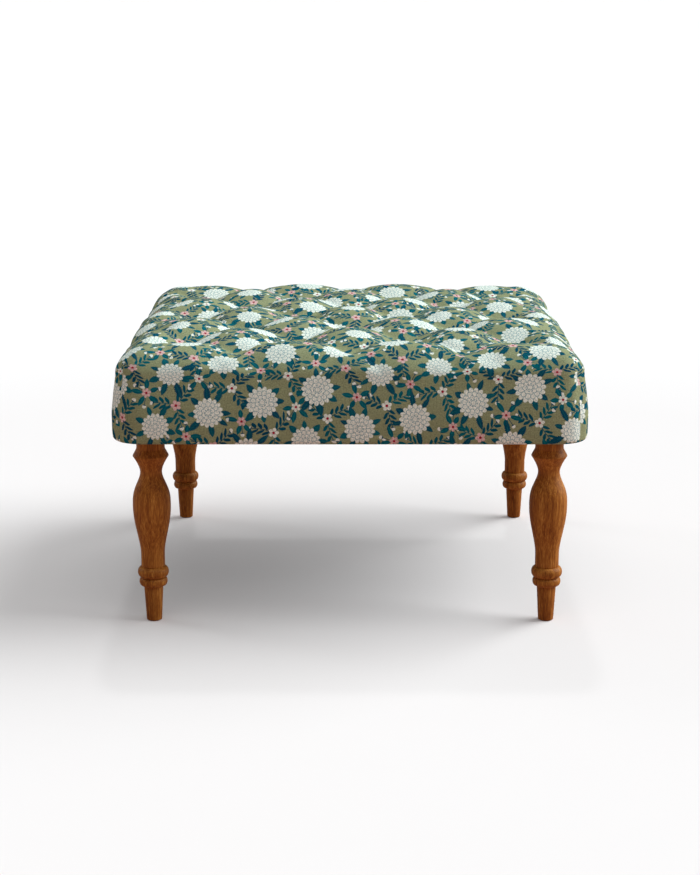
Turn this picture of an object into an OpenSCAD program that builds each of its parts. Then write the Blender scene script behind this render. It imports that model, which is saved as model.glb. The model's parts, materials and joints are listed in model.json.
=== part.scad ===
// A square ottoman: a diamond-tufted seat on four turned legs.
// Z is up, z = 0 is the floor, the origin is under the middle of the seat and -Y is the front.

/* [Seat] */
// Width and depth of the upholstered seat at its widest
seat_w = 611; // [580:1:680]
// Height of the seat from its underside to the crests between the tufts
seat_h = 127; // [120:1:150]
// Radius of the seat's upright corners, seen from above
corner_r = 38; // [34:1:50]
// How far in from the side the rounded top edge begins
shoulder_w = 42; // [30:1:55]
// How far down from the crests the rounded top edge ends
shoulder_h = 40; // [30:1:44]
// How much the sides draw in from their widest line to the rounded top edge
side_draw = 3; // [0:0.5:3]
// Height of the widest line of the sides above the seat's underside
belly_h = 20; // [14:1:40]
// How much lower the top's edges are than its middle
crown = 6; // [0:0.5:12]

/* [Tufting] */
// Distance from tuft to tuft along a row
tuft_pitch_x = 146; // [130:1:160]
// Distance from a row of tufts to the next row but one
tuft_pitch_y = 174; // [150:1:180]
// Depth of a tuft under the crests
tuft_depth = 24; // [12:1:26]
// Width of the border over which the tufting fades out
fade_w = 85; // [60:1:100]
// Least distance of a tuft from the side of the seat
tuft_margin = 40; // [38:1:44]
// Diameter of the tufting twine
twine_d = 2; // [1.5:0.1:3]
// Diameter of the washer that each twine is tied to, under the deck
washer_d = 16; // [12:1:18]
// Thickness of that washer
washer_t = 1.5; // [1:0.1:2.5]
// Diameter of the knot under the washer
knot_d = 5; // [4:0.5:7]
// Height of the knot
knot_h = 4; // [3:0.5:6]
// Gap round a twine in the deck
twine_gap = 1; // [0.5:0.1:2]

/* [Cover and padding] */
// Thickness of the printed cover
cover_t = 1.2; // [0.8:0.1:2]
// Thickness of the fibre wadding under the cover
wadding_t = 8; // [6:0.5:10]
// Thickness of the wadding at the lower edge of the rails
edge_wadding_t = 1; // [0.5:0.1:3]
// Width of the cover's hem on the underside of the rails
hem_w = 12; // [8:1:12]
// Thickness of the dust cover
dust_t = 0.8; // [0.5:0.1:1.5]
// How far the dust cover's edge lies inside the frame's edge
dust_inset = 6; // [3:1:7]
// Gap between the dust cover and a leg's neck
neck_gap = 1; // [0.5:0.1:2]
// Gap between a soft piece and its neighbour
soft_gap = 0.3; // [0.2:0.05:0.5]

/* [Frame] */
// Height of the rails
rail_h = 60; // [55:1:64]
// Thickness of the rails
rail_t = 22; // [20:1:25]
// Thickness of the two cross rails
cross_t = 18; // [15:1:22]
// Thickness of the plywood deck
deck_t = 12; // [9:1:15]
// How much larger the frame's corner radius is than the padding's inner one
frame_rounding = 3; // [2:0.5:5]
// Length of a corner block along each rail
block_w = 75; // [70:1:85]
// Width of a corner block's ends
block_end = 20; // [16:1:24]
// Height of a corner block
block_h = 30; // [26:1:34]

/* [Legs] */
// Distance of a leg's axis from the side of the seat
leg_inset = 45.5; // [44:0.5:60]
// Diameter of the foot at its bottom
foot_d = 19.3; // [18:0.1:24]
// Diameter of the leg just under the lower bead
ankle_d = 24.6; // [22:0.1:28]
// Height of the tapered foot
foot_h = 43; // [35:1:55]
// Diameter of the groove on each side of the beads
groove_d = 28; // [25:0.1:31]
// Diameter of the lower bead
bead_low_d = 35.7; // [32:0.1:40]
// Height of the lower bead
bead_low_h = 12; // [8:1:16]
// Diameter of the upper bead
bead_high_d = 40.2; // [36:0.1:46]
// Height of the upper bead
bead_high_h = 16; // [12:1:20]
// Diameter of the straight shank over the beads
shank_d = 31.2; // [28:0.1:36]
// Height of the straight shank
shank_h = 27; // [15:1:40]
// Largest diameter of the vase
vase_d = 49.2; // [42:0.1:54]
// Height over which the vase swells
swell_h = 58; // [45:1:70]
// Diameter of the waist over the vase
waist_d = 27.8; // [25:0.1:32]
// Height over which the vase narrows to the waist
narrow_h = 43; // [30:1:55]
// Diameter of the collar's sharp ridge
collar_d = 44.6; // [40:0.1:50]
// Height over which the collar flares out of the waist
flare_h = 22; // [15:1:30]
// Height of the chamfer over the ridge
chamfer_h = 8; // [4:1:12]
// Diameter of the plain neck at the leg's top
neck_d = 36; // [32:0.1:38]
// Height of the neck
neck_h = 19; // [14:1:26]

/* [Fasteners] */
// Gap all round a bolt, screw or dowel in its hole
fit_gap = 0.1; // [0.05:0.01:0.2]
// Diameter of the hanger bolt that holds each leg
bolt_d = 8; // [6:0.5:10]
// Depth of the hanger bolt in the leg
bolt_in_leg = 35; // [25:1:45]
// Gap all round the hanger bolt in the corner block
bolt_gap = 0.3; // [0.2:0.1:1]
// How far the hanger bolt stands out above the corner block
bolt_out = 5; // [3:0.5:8]
// Diameter of the tee nut's flange
nut_flange_d = 22; // [18:0.5:24]
// Thickness of the tee nut's flange
nut_flange_t = 1.5; // [1:0.1:2.5]
// Wall of the tee nut's barrel
nut_wall = 1.2; // [1:0.1:2]
// Depth of the tee nut's barrel
nut_depth = 12; // [8:0.5:16]
// Diameter of a dowel
dowel_d = 8; // [6:0.5:9]
// Length of a dowel
dowel_l = 30; // [24:1:36]
// Depth of a dowel in the front or rear rail
dowel_in = 8; // [6:0.5:9]
// Diameter of a screw's shank
screw_d = 4; // [3:0.1:4.5]
// Diameter of a screw's head
screw_head_d = 8; // [7:0.1:9]
// Height of a screw's head
screw_head_h = 3; // [2:0.1:3.5]
// Gap round a screw's head in its pocket in the corner block
pocket_gap = 1; // [0.5:0.1:2]
// Wood left under the head of a corner block's screw
pocket_left = 15; // [12:0.5:18]
// Depth of a corner block's screw in the rail
screw_in_rail = 15; // [10:0.5:18]
// Distance between the deck's screws along a rail
deck_screw_pitch = 152; // [120:1:170]
// Length of a deck screw
deck_screw_l = 34; // [28:1:40]
// Diameter of a foot glide
glide_d = 16; // [13:0.5:17.5]
// Thickness of a foot glide
glide_t = 2; // [1.5:0.5:4]
// Diameter of the glide's nail
nail_d = 2.4; // [2:0.1:3]
// Length of the glide's nail in the foot
nail_l = 15; // [10:1:20]

/* [Hidden] */
// Names in the corner order of CORNERS

// Corners as signs of x and y
FRONT_LEFT = [-1, -1];
FRONT_RIGHT = [1, -1];
REAR_LEFT = [-1, 1];
REAR_RIGHT = [1, 1];
CORNERS = [FRONT_LEFT, FRONT_RIGHT, REAR_LEFT, REAR_RIGHT];

// Facets of small round things, which stay true cylinders and cones
$fn = 48;
// How far a cutting shape runs past the face that it cuts
past = 1;

// Heights along a leg, from its foot to its top
ankle_z = glide_t + foot_h;
bead_mid_z = ankle_z + bead_low_h;
shank_z = bead_mid_z + bead_high_h;
vase_z = shank_z + shank_h;
vase_top_z = vase_z + swell_h;
waist_z = vase_top_z + narrow_h;
collar_z = waist_z + flare_h;
neck_z = collar_z + chamfer_h;
seat_z = neck_z + neck_h;

// The seat's outer form
seat_half = seat_w / 2;
seat_top = seat_z + seat_h;
leg_at = seat_half - leg_inset;

// Depths of the padding's layers under the cover's outer face
wadding_out = cover_t + soft_gap;
wadding_in = wadding_out + wadding_t;
foam_out = wadding_in + soft_gap;

// The frame inside the padding
frame_half = seat_half - foam_out;
frame_r = corner_r - foam_out + frame_rounding;
rail_inside = frame_half - rail_t;
deck_z = seat_z + rail_h;
foam_z = deck_z + deck_t;
cross_at = tuft_pitch_x * 3 / 4;
bottom_half = frame_half + edge_wadding_t + 2 * soft_gap + cover_t;
hem_half = frame_half - hem_w;
hem_z = seat_z - soft_gap - cover_t;

// Angles on the rounded top edge at which its rings lie, from the top down
shoulder_turns = [60, 30, 0];
// Least radius of a ring's corners
ring_r_min = 2;

dowel_heights = [rail_h / 4, rail_h * 3 / 4];
deck_screw_row = [-1, 0, 1] * deck_screw_pitch;

// Tufts: rows in which every other row is moved by half a pitch, inside the margin
tuft_reach = seat_half - tuft_margin;
row_count = floor(tuft_reach / (tuft_pitch_y / 2));
column_count = ceil(tuft_reach / tuft_pitch_x);
tufts = [
    for (row = [-row_count : row_count])
        let (shift = row % 2 == 0 ? tuft_pitch_x / 2 : 0)
            for (k = [-column_count : column_count])
                let (x = k * tuft_pitch_x + shift, y = row * tuft_pitch_y / 2)
                    if (abs(x) <= tuft_reach) [x, y]
];

// Height of the tufted top, over any point of the seat

// 0 at a tuft, 1/2 in the middle of a crease between two tufts, 1 on a crest
function pillow(x, y) =
    let (across = x / tuft_pitch_x - 1 / 2, along = y / tuft_pitch_y)
        (abs(sin(180 * (across + along))) + abs(sin(180 * (across - along)))) / 2;

// 0 at the side of the seat, 1 from the end of the border inwards
function fade(x, y) =
    let (t = max(0, min(1, (seat_half - max(abs(x), abs(y))) / fade_w)))
        t * t * (3 - 2 * t);

function dip(x, y) = tuft_depth * fade(x, y) * (1 - pillow(x, y));

function top_z(x, y) =
    seat_top - crown * (x * x + y * y) / (2 * seat_half * seat_half) - dip(x, y);

// The net of the seat's top: lines a quarter of a pitch apart, and two more before the rounded edge
net_half = seat_half - shoulder_w;
function net_lines(step) =
    let (
        n = floor((net_half - step / 2) / step),
        between = (n * step + net_half) / 2,
        side = concat([for (k = [1 : n]) k * step], [between, net_half])
    )
        concat([for (k = [len(side) - 1 : -1 : 0]) -side[k]], [0], side);

net_x = net_lines(tuft_pitch_x / 4);
net_y = net_lines(tuft_pitch_y / 4);
last_i = len(net_x) - 1;
last_j = len(net_y) - 1;
net_count = len(net_x) * len(net_y);

// The net's border, counter-clockwise from the front left corner
border = concat(
    [for (i = [0 : last_i - 1]) [i, 0]],
    [for (j = [0 : last_j - 1]) [last_i, j]],
    [for (i = [last_i : -1 : 1]) [i, last_j]],
    [for (j = [last_j : -1 : 1]) [0, j]]
);
border_count = len(border);

// A border line's place on a straight side: the lines spread out towards the corner
function spread(at, last_at, end) =
    at + sign(at) * (end - last_at) * pow(abs(at) / last_at, 4);

// A border point's place on a rounded square: the last two steps before each corner are on its arc
function ring_spot(spot, half, r) =
    let (
        i = spot[0],
        j = spot[1],
        to_i = min(i, last_i - i),
        to_j = min(j, last_j - j),
        on_front = to_j == 0,
        steps = on_front ? to_i : to_j,
        turn = 45 * (1 - min(steps, 2) / 2),
        end = half - r,
        line = on_front ? net_x[i] : net_y[j],
        last_line = on_front ? net_x[last_i - 2] : net_y[last_j - 2],
        along = steps >= 2 ? spread(line, last_line, end) : sign(line) * (end + r * sin(turn)),
        out = sign(on_front ? net_y[j] : net_x[i]) * (end + r * cos(turn))
    )
        on_front ? [along, out] : [out, along];

// The rounded top edge of a layer at a depth under the cover's outer face: [half width, height]
function shoulder_rings(depth) = [
    for (turn = shoulder_turns) [
        seat_half - side_draw - shoulder_w * (1 - cos(turn)) - depth,
        seat_top - shoulder_h * (1 - sin(turn)) - depth
    ]
];

// All the points of one layer's face: the net, then its rings
function layer_points(depth, rings) = concat(
    [for (y = net_y) for (x = net_x) [x, y, top_z(x, y) - depth]],
    [
        for (ring = rings)
            for (spot = border)
                let (
                    at = ring_spot(spot, ring[0], max(ring_r_min, corner_r - (seat_half - ring[0]))),
                    on_shoulder = ring[1] > seat_top - shoulder_h - depth
                )
                    [at[0], at[1], ring[1] - (on_shoulder ? dip(at[0], at[1]) : 0)]
    ]
);

// The net's triangles: each square is cut along its lower diagonal, which is where a crease runs
function net_faces(points) = [
    for (j = [0 : last_j - 1])
        for (i = [0 : last_i - 1])
            let (
                a = j * (last_i + 1) + i,
                b = a + 1,
                c = b + last_i + 1,
                d = c - 1,
                cut_ac = points[a][2] + points[c][2] < points[b][2] + points[d][2]
            )
                each (cut_ac ? [[a, c, b], [a, d, c]] : [[a, d, b], [b, d, c]])
];

// Numbers of the points round the net's border and round ring n
function border_loop() = [for (spot = border) spot[1] * (last_i + 1) + spot[0]];
function ring_loop(n) = [for (k = [0 : border_count - 1]) net_count + n * border_count + k];

// Triangles between two loops, of which the second is further out
function band(inner, outer) = [
    for (k = [0 : border_count - 1])
        let (next = (k + 1) % border_count)
            each [[inner[k], inner[next], outer[next]], [inner[k], outer[next], outer[k]]]
];

function layer_faces(points, ring_total) = concat(
    net_faces(points),
    band(border_loop(), ring_loop(0)),
    [for (n = [1 : ring_total - 1]) each band(ring_loop(n - 1), ring_loop(n))]
);

function shifted(faces, by) = [for (face = faces) [for (p = face) p + by]];
function turned(faces) = [for (face = faces) [for (k = [len(face) - 1 : -1 : 0]) face[k]]];

// A layer of even thickness between two faces that have as many rings
module shell(out_depth, out_rings, in_depth, in_rings) {
    total = len(out_rings);
    out_points = layer_points(out_depth, out_rings);
    in_points = layer_points(in_depth, in_rings);
    faces = layer_faces(out_points, total);
    count = len(out_points);
    edge = ring_loop(total - 1);
    polyhedron(
        points = concat(out_points, in_points),
        faces = concat(faces, shifted(turned(faces), count), band(edge, [for (p = edge) p + count]))
    );
}

// A square with round corners
module rounded_square(half, r) {
    square([2 * half, 2 * (half - r)], center = true);
    square([2 * (half - r), 2 * half], center = true);
    for (corner = CORNERS)
        translate(corner * (half - r)) circle(r);
}

module at_corners() {
    for (corner = CORNERS)
        translate(corner * leg_at) children();
}

module at_tufts() {
    for (tuft = tufts)
        translate(tuft) children();
}

// Outline of a leg

// Skews of the three curves: under 1 a curve turns early, over 1 it turns late
swell_skew = 0.75;
narrow_skew = 1.15;
flare_skew = 1.3;

// A smooth step from 0 to 1
function ease(t, skew) = (1 - cos(180 * pow(t, skew))) / 2;

function sweep_up(z0, z1, d0, d1, skew, steps) = [
    for (k = [0 : steps])
        let (t = k / steps)
            [(d0 + (d1 - d0) * ease(t, skew)) / 2, z0 + (z1 - z0) * t]
];

function bead(z0, z1, d) = [
    for (turn = [-90 : 15 : 90])
        [(groove_d + (d - groove_d) * cos(turn)) / 2, (z0 + z1 + (z1 - z0) * sin(turn)) / 2]
];

leg_outline = concat(
    [[0, glide_t], [foot_d / 2, glide_t], [ankle_d / 2, ankle_z]],
    bead(ankle_z, bead_mid_z, bead_low_d),
    bead(bead_mid_z, shank_z, bead_high_d),
    [[shank_d / 2, shank_z]],
    sweep_up(vase_z, vase_top_z, shank_d, vase_d, swell_skew, 10),
    sweep_up(vase_top_z, waist_z, vase_d, waist_d, narrow_skew, 10),
    sweep_up(waist_z, collar_z, waist_d, collar_d, flare_skew, 8),
    [[neck_d / 2, neck_z], [neck_d / 2, seat_z], [0, seat_z]]
);

module leg(corner) {
    color("saddlebrown")
        translate(corner * leg_at)
            difference() {
                rotate_extrude($fn = 96) polygon(leg_outline);
                translate([0, 0, seat_z - bolt_in_leg - past])
                    cylinder(d = bolt_d + 2 * fit_gap, h = bolt_in_leg + 2 * past);
                translate([0, 0, glide_t - past])
                    cylinder(d = nail_d + 2 * fit_gap, h = nail_l + 2 * past);
            }
}

module foot_glides() {
    color("dimgray")
        at_corners() {
            cylinder(d = glide_d, h = glide_t);
            cylinder(d = nail_d, h = glide_t + nail_l);
        }
}

module hanger_bolts() {
    color("silver")
        at_corners()
            translate([0, 0, seat_z - bolt_in_leg])
                cylinder(d = bolt_d, h = bolt_in_leg + block_h + bolt_out);
}

module tee_nuts() {
    color("silver")
        at_corners()
            translate([0, 0, seat_z + block_h])
                difference() {
                    union() {
                        cylinder(d = nut_flange_d, h = nut_flange_t);
                        translate([0, 0, -nut_depth])
                            cylinder(d = bolt_d + 2 * nut_wall, h = nut_depth + nut_flange_t);
                    }
                    translate([0, 0, -nut_depth - past])
                        cylinder(d = bolt_d + 2 * fit_gap, h = nut_depth + nut_flange_t + 2 * past);
                }
}

// Holes of the screws that hold a corner block, along +X and at the rail's inner face
module block_screw_hole() {
    rotate([0, 90, 0]) {
        translate([0, 0, -pocket_left - past])
            cylinder(d = screw_d + 2 * fit_gap, h = pocket_left + screw_in_rail + 2 * past);
        translate([0, 0, -block_w])
            cylinder(d = screw_head_d + 2 * pocket_gap, h = block_w - pocket_left);
    }
}

module block_screw() {
    rotate([0, 90, 0]) {
        translate([0, 0, -pocket_left])
            cylinder(d = screw_d, h = pocket_left + screw_in_rail);
        translate([0, 0, -pocket_left - screw_head_h])
            cylinder(d = screw_head_d, h = screw_head_h);
    }
}

// Places a block's two screws: one into the side rail, one into the front or rear rail
module at_block_screws(corner) {
    from_end = block_w - block_end;
    for (flip = [0, 1])
        mirror_to_corner(corner)
            mirror([flip, -flip, 0])
                translate([rail_inside, rail_inside - from_end, seat_z + block_h / 2]) children();
}

// Mirrors what is drawn for the rear right corner to any other corner
module mirror_to_corner(corner) {
    mirror([corner[0] < 0 ? 1 : 0, 0, 0])
        mirror([0, corner[1] < 0 ? 1 : 0, 0]) children();
}

module block_screws() {
    color("goldenrod")
        for (corner = CORNERS)
            at_block_screws(corner) block_screw();
}

module corner_block(corner) {
    near = rail_inside - block_w;
    end = rail_inside - block_end;
    color("burlywood")
        difference() {
            mirror_to_corner(corner)
                translate([0, 0, seat_z])
                    linear_extrude(block_h)
                        polygon([
                            [rail_inside, rail_inside], [near, rail_inside], [near, end],
                            [end, near], [rail_inside, near]
                        ]);
            translate(corner * leg_at)
                translate([0, 0, seat_z - past]) {
                    cylinder(d = bolt_d + 2 * bolt_gap, h = block_h + 2 * past);
                    translate([0, 0, block_h + past - nut_depth - fit_gap])
                        cylinder(d = bolt_d + 2 * nut_wall + 2 * fit_gap, h = nut_depth + past + fit_gap);
                }
            at_block_screws(corner) block_screw_hole();
        }
}

// Places the dowels of the side rails and cross rails in the front and rear rails
module at_dowels() {
    for (x = [-frame_half + rail_t / 2, -cross_at, cross_at, frame_half - rail_t / 2])
        for (side = [-1, 1])
            for (z = dowel_heights)
                translate([x, side * (rail_inside + dowel_in), seat_z + z])
                    rotate([side * 90, 0, 0]) children();
}

module dowel_holes() {
    at_dowels()
        translate([0, 0, -fit_gap])
            cylinder(d = dowel_d + 2 * fit_gap, h = dowel_l + 2 * fit_gap);
}

module frame_dowels() {
    color("wheat") at_dowels() cylinder(d = dowel_d, h = dowel_l);
}

// Places the deck's screws over the middle of each outer rail, at the deck's top
module at_deck_screws() {
    rail_mid = frame_half - rail_t / 2;
    for (turn = [0 : 90 : 270])
        for (x = deck_screw_row)
            rotate([0, 0, turn])
                translate([x, rail_mid, foam_z]) children();
}

module deck_screw(gap) {
    translate([0, 0, -deck_screw_l - gap])
        cylinder(d = screw_d + 2 * gap, h = deck_screw_l + gap);
    translate([0, 0, -screw_head_h])
        cylinder(d1 = screw_d + 2 * gap, d2 = screw_head_d + 2 * gap, h = screw_head_h);
}

module deck_screws() {
    color("goldenrod") at_deck_screws() deck_screw(0);
}

module rail_fastener_holes() {
    dowel_holes();
    at_deck_screws() deck_screw(fit_gap);
    for (corner = CORNERS)
        at_block_screws(corner) block_screw_hole();
}

// The front or rear rail: as wide as the frame, with the frame's round corners
module long_rail(side) {
    color("burlywood")
        difference() {
            intersection() {
                translate([0, side * (frame_half - rail_t / 2), deck_z - rail_h / 2])
                    cube([2 * frame_half + past, rail_t, rail_h], center = true);
                translate([0, 0, seat_z - past])
                    linear_extrude(rail_h + 2 * past) rounded_square(frame_half, frame_r);
            }
            rail_fastener_holes();
        }
}

// A rail from front to rear between the long rails
module short_rail(x, thickness) {
    color("burlywood")
        difference() {
            translate([x, 0, deck_z - rail_h / 2])
                cube([thickness, 2 * rail_inside, rail_h], center = true);
            rail_fastener_holes();
        }
}

module seat_deck() {
    color("tan")
        difference() {
            translate([0, 0, deck_z])
                linear_extrude(deck_t) rounded_square(frame_half, frame_r);
            at_deck_screws() deck_screw(fit_gap);
            at_tufts()
                translate([0, 0, deck_z - past])
                    cylinder(d = twine_d + 2 * twine_gap, h = deck_t + 2 * past);
        }
}

module tuft_washers() {
    color("silver")
        at_tufts()
            translate([0, 0, deck_z - washer_t])
                difference() {
                    cylinder(d = washer_d, h = washer_t);
                    translate([0, 0, -past])
                        cylinder(d = twine_d + 2 * fit_gap, h = washer_t + 2 * past);
                }
}

// Each twine runs from its knot up to the cover's inner face
module tuft_twines() {
    color("ivory")
        for (tuft = tufts)
            translate([tuft[0], tuft[1], deck_z - washer_t - knot_h]) {
                cylinder(d = knot_d, h = knot_h);
                cylinder(
                    d = twine_d,
                    h = top_z(tuft[0], tuft[1]) - wadding_out - deck_z + washer_t + knot_h
                );
            }
}

module twine_holes() {
    at_tufts()
        translate([0, 0, deck_z])
            cylinder(d = twine_d + 2 * soft_gap, h = seat_h);
}

module seat_foam() {
    rings = concat(shoulder_rings(foam_out), [[frame_half, foam_z + soft_gap]]);
    points = layer_points(foam_out, rings);
    bottom = ring_loop(len(rings) - 1);
    color("khaki")
        difference() {
            polyhedron(points = points, faces = concat(layer_faces(points, len(rings)), [bottom]));
            twine_holes();
        }
}

module seat_wadding() {
    inside = frame_half + soft_gap;
    out_rings = concat(
        shoulder_rings(wadding_out),
        [[seat_half - wadding_out, seat_z + belly_h], [bottom_half - wadding_out, seat_z]]
    );
    shoulder = shoulder_rings(wadding_in);
    in_rings = concat(
        [shoulder[0], shoulder[1]],
        [for (z = [shoulder[2][1], seat_z + belly_h, seat_z]) [inside, z]]
    );
    color("whitesmoke")
        difference() {
            shell(wadding_out, out_rings, wadding_in, in_rings);
            twine_holes();
        }
}

module seat_cover() {
    out_rings = concat(
        shoulder_rings(0),
        [[seat_half, seat_z + belly_h], [bottom_half, hem_z], [hem_half, hem_z]]
    );
    in_rings = concat(
        shoulder_rings(cover_t),
        [
            [seat_half - cover_t, seat_z + belly_h],
            [bottom_half - cover_t, hem_z + cover_t],
            [hem_half, hem_z + cover_t]
        ]
    );
    color("cadetblue") shell(0, out_rings, cover_t, in_rings);
}

module dust_cover() {
    half = frame_half - dust_inset;
    color([0.12, 0.12, 0.12])
        translate([0, 0, hem_z - dust_t])
            linear_extrude(dust_t)
                difference() {
                    rounded_square(half, frame_r - dust_inset);
                    at_corners() circle(d = neck_d + 2 * neck_gap);
                }
}

leg(FRONT_LEFT);  // leg_front_left
leg(FRONT_RIGHT);  // leg_front_right
leg(REAR_LEFT);  // leg_rear_left
leg(REAR_RIGHT);  // leg_rear_right
foot_glides();
hanger_bolts();
tee_nuts();
corner_block(FRONT_LEFT);  // corner_block_front_left
corner_block(FRONT_RIGHT);  // corner_block_front_right
corner_block(REAR_LEFT);  // corner_block_rear_left
corner_block(REAR_RIGHT);  // corner_block_rear_right
long_rail(-1);  // rail_front
long_rail(1);  // rail_rear
short_rail(-frame_half + rail_t / 2, rail_t);  // rail_left
short_rail(frame_half - rail_t / 2, rail_t);  // rail_right
short_rail(-cross_at, cross_t);  // cross_rail_left
short_rail(cross_at, cross_t);  // cross_rail_right
frame_dowels();
block_screws();
seat_deck();
deck_screws();
tuft_twines();
tuft_washers();
seat_foam();
seat_wadding();
seat_cover();
dust_cover();
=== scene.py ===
# A square ottoman: a tufted seat in a printed cover, on four turned legs.
# Lengths are in metres. The print is drawn in millimetres of cloth.
import json
import math

import bpy
import numpy as np
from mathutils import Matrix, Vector


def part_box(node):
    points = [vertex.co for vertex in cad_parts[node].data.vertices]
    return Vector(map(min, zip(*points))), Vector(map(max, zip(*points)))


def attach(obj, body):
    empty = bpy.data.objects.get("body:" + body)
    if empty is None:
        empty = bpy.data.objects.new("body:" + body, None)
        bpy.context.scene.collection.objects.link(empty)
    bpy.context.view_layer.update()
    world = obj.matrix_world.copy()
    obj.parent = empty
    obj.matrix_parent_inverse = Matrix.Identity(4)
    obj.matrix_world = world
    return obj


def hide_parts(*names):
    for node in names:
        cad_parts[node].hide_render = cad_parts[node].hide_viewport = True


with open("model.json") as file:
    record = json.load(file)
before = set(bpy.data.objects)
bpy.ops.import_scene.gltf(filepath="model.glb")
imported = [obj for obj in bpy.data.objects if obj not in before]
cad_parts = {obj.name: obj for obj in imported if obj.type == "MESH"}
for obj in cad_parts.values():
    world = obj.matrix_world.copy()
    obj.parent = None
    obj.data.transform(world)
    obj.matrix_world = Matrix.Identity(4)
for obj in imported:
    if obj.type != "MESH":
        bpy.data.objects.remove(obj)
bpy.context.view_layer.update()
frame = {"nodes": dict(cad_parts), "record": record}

MM = 0.001
TAU = 2 * math.pi

# The seat's form. Its overall sizes are the solids' own, its rounding and its belly those of settled cloth.
SEAT_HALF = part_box("seat_cover")[1].x
SEAT_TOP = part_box("seat_cover")[1].z
HEM_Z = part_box("seat_cover")[0].z
RAIL_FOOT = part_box("rail_front")[0].z
FOAM_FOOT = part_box("seat_deck")[1].z
FRAME_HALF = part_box("seat_deck")[1].x
CORNER_R = 38 * MM
LEAST_CORNER_R = 2 * MM
SHOULDER_W = 42 * MM
SHOULDER_H = 40 * MM
SIDE_DRAW = 5 * MM
CROWN = 6 * MM
NET_HALF = SEAT_HALF - SHOULDER_W
NET_CELLS = 80
SIDE_TOP = SEAT_TOP - SHOULDER_H
SIDE_HALF = SEAT_HALF - SIDE_DRAW
BELLY = 8 * MM
BELLY_AT = 0.8
EDGE_R = 6 * MM
EDGE_DRAW = 0.5 * MM
EDGE_DRAW_FROM = 0.7
HEM_HALF = FRAME_HALF - 12 * MM
CORNER_FOLD = 2.2 * MM
FOLD_HALF_W = 0.7 * MM
FOLD_TOP = SEAT_TOP - 12 * MM
FOLD_TOP_EASE = 30 * MM
FOLD_FOOT = HEM_Z + 1 * MM
FOLD_FOOT_EASE = 8 * MM

# The tufting: how deep it is, how it fades out at the sides, and where the corners stay firm
TUFT_PITCH_X = 146 * MM
TUFT_PITCH_Y = 174 * MM
TUFT_DEPTH = 20 * MM
TUFT_MARGIN = 40 * MM
CREASE_SOFT = 0.14
FADE_SIDE = 98 * MM
FADE_FRONT = 74 * MM
FIRM_X = 222 * MM
FIRM_Y = 195 * MM
FIRM_W = 36 * MM

# How the cover settles
SETTLING_FRAMES = 20
TUFT_HOLD_R = 6 * MM
MOST_MOVED = 8 * MM
SIDE_SWELL = 0.15
SWELL_FOOT = SIDE_TOP - 15 * MM
SWELL_EASE = SHOULDER_H + 5 * MM

# Cloth, padding and twines
COVER_T = 1.2 * MM
SOFT_GAP = 0.3 * MM
WADDING_T = 8 * MM
WADDING_OUT = COVER_T + 2 * SOFT_GAP
FOAM_OUT = WADDING_OUT + WADDING_T
TWINE_R = 1 * MM
KNOT_R = 2.5 * MM
TWINE_END_GAP = 0.6 * MM
TWINE_SIDES = 16

# Legs, lining and staples
LEG_AT = SEAT_HALF - 45.5 * MM
LEG_SIDES = 96
LEG_HOLE_R = 19 * MM
LINING_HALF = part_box("dust_cover")[1].x
LINING_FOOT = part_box("dust_cover")[0].z
LINING_T = 0.8 * MM
LINING_CORNER_R = 25.2 * MM
LINING_CELLS = 120
LINING_SAG = 2.0 * MM
LINING_PULL = 0.45 * MM
LINING_PULL_REACH = 45 * MM
LINING_WAVE = 0.7 * MM
STAPLE_GAP = 38 * MM
STAPLE_INSET = 5 * MM
STAPLE_FREE_END = 60 * MM

# The cosine and sine of each quarter turn
QUARTERS = ((1, 0), (0, 1), (-1, 0), (0, -1))

CORNERS = {
    "front_left": (-1, -1),
    "front_right": (1, -1),
    "rear_left": (-1, 1),
    "rear_right": (1, 1),
}

# The tufts' places, in rows that are staggered by half a pitch
TUFTS = [
    (x, row * TUFT_PITCH_Y / 2)
    for row in range(-3, 4)
    for x in ((k + (row + 1) % 2 / 2) * TUFT_PITCH_X for k in range(-2, 3))
    if abs(x) <= SEAT_HALF - TUFT_MARGIN
]


# Shader maths


class Wire:
    """An output of a node. Sums on wires and numbers add Math nodes to the same tree."""

    def __init__(self, nodes, socket):
        self.nodes = nodes
        self.socket = socket

    def math(self, operation, *others, clamp=False):
        return self.nodes.add("Math", {"operation": operation, "use_clamp": clamp}, (self, *others))

    def other(self, output):
        """Another output of the same node."""
        return Wire(self.nodes, self.socket.node.outputs[output])

    def parts(self):
        """The three numbers of a vector."""
        first = self.nodes.add("SeparateXYZ", {}, (self,))
        return first, first.other(1), first.other(2)

    def __add__(self, other):
        return self.math("ADD", other)

    def __sub__(self, other):
        return self.math("SUBTRACT", other)

    def __rsub__(self, other):
        return self.nodes.add("Math", {"operation": "SUBTRACT"}, (other, self))

    def __mul__(self, other):
        return self.math("MULTIPLY", other)

    def __truediv__(self, other):
        return self.math("DIVIDE", other)

    def __rtruediv__(self, other):
        return self.nodes.add("Math", {"operation": "DIVIDE"}, (other, self))

    def __abs__(self):
        return self.math("ABSOLUTE")

    __radd__ = __add__
    __rmul__ = __mul__


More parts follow.
